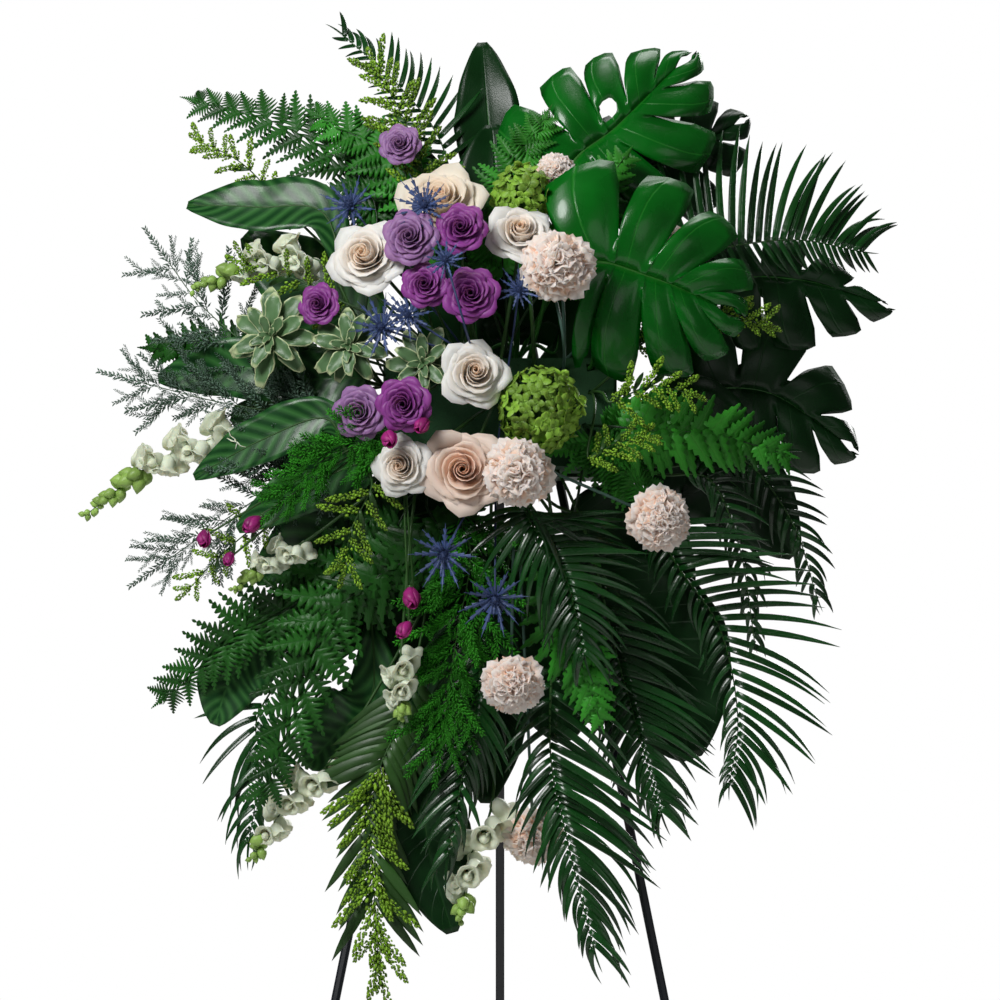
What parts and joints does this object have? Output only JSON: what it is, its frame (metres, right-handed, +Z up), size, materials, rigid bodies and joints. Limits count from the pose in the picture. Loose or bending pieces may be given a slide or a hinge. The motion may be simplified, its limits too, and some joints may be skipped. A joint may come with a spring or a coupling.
{
  "type": "standing funeral flower spray",
  "caption": "Standing spray of roses, carnations, sea holly and goldenrod among split leaves, palm and fern fronds, set in a foam brick on a folding steel easel.",
  "frame": {"origin": "on the floor, under the middle of the whole arrangement", "axes": "+Z up, the flowers face -Y, +X is to the right seen from the front"},
  "size_m": [0.8316, 0.9, 1.72],
  "materials": {
    "easel_paint": "satin dark paint",
    "foot_rubber": "matte",
    "wet_foam": "matte, soaked with water",
    "tray_plastic": "satin",
    "bright_leaf": "glossy fresh leaf",
    "dark_leaf": "satin dark leaf",
    "striped_leaf": "satin leaf with pale stripes",
    "palm_leaf": "glossy leaf",
    "fern_leaf": "matte leaf",
    "asparagus": "fine matte needles",
    "grey_asparagus": "fine matte needles",
    "goldenrod": "small matte florets",
    "snapdragon": "soft white-green petals",
    "sea_holly": "stiff steel-blue bracts",
    "pittosporum": "satin leaf with a cream edge",
    "hydrangea": "soft lime petals",
    "white_petal": "velvety petal",
    "cream_petal": "velvety petal",
    "peach_petal": "velvety petal",
    "carnation_petal": "ruffled petal",
    "purple_petal": "velvety petal",
    "lavender_petal": "velvety petal",
    "magenta_petal": "velvety petal",
    "rose_stem": "satin stem",
    "carnation_stem": "matte waxy stem"
  },
  "bodies": {
    "stand": {"front_leg_left": "easel_paint", "front_leg_right": "easel_paint", "easel_head": "easel_paint", "cross_bar": "easel_paint", "foot_cap_left": "foot_rubber", "foot_cap_right": "foot_rubber", "floral_foam": "wet_foam", "foam_tray": "tray_plastic", "monstera_upper": "bright_leaf", "monstera_middle": "bright_leaf", "dark_leaves_upper": "dark_leaf", "dark_leaves_right": "dark_leaf", "dark_leaves_lower": "dark_leaf", "striped_leaves_left": "striped_leaf", "striped_leaves_lower": "striped_leaf", "palm_upper_right": "palm_leaf", "palm_right": "palm_leaf", "palm_centre": "palm_leaf", "palm_lower_right": "palm_leaf", "palm_bottom": "palm_leaf", "palm_lower_left": "palm_leaf", "palm_top": "palm_leaf", "fern_upper_left": "fern_leaf", "fern_top": "fern_leaf", "fern_centre": "fern_leaf", "fern_lower_left": "fern_leaf", "asparagus_grey": "grey_asparagus", "asparagus_green": "asparagus", "goldenrod_upper_left": "goldenrod", "goldenrod_right": "goldenrod", "goldenrod_bottom": "goldenrod", "goldenrod_left": "goldenrod", "hydrangea_centre": "hydrangea", "hydrangea_upper": "hydrangea", "rose_white_left": "white_petal", "rose_cream": "cream_petal", "rose_white_upper": "white_petal", "rose_white_centre": "white_petal", "rose_white_low": "white_petal", "rose_peach": "peach_petal", "rose_stems": "rose_stem", "spray_roses_purple": "purple_petal", "spray_roses_lavender": "lavender_petal", "rose_buds": "magenta_petal", "carnations_upper": "carnation_petal", "carnation_centre": "carnation_petal", "carnation_right": "carnation_petal", "carnation_lower": "carnation_petal", "carnation_bottom": "carnation_petal", "carnation_stems": "carnation_stem", "carnation_back": "carnation_petal", "snapdragon_left": "snapdragon", "snapdragon_upper": "snapdragon", "snapdragon_middle": "snapdragon", "snapdragon_low": "snapdragon", "thistle_upper": "sea_holly", "thistle_lower": "sea_holly", "pittosporum": "pittosporum"},
    "rear_strut": {"back_leg": "easel_paint", "foot_cap_back": "foot_rubber"}
  },
  "joints": [
    {"name": "back_leg_hinge", "type": "hinge", "parent": "stand", "child": "rear_strut", "pos_m": [0.005, -0.15411, 1.47377], "axis": [1, 0, 0], "range_deg": [-29, 0]}
  ]
}
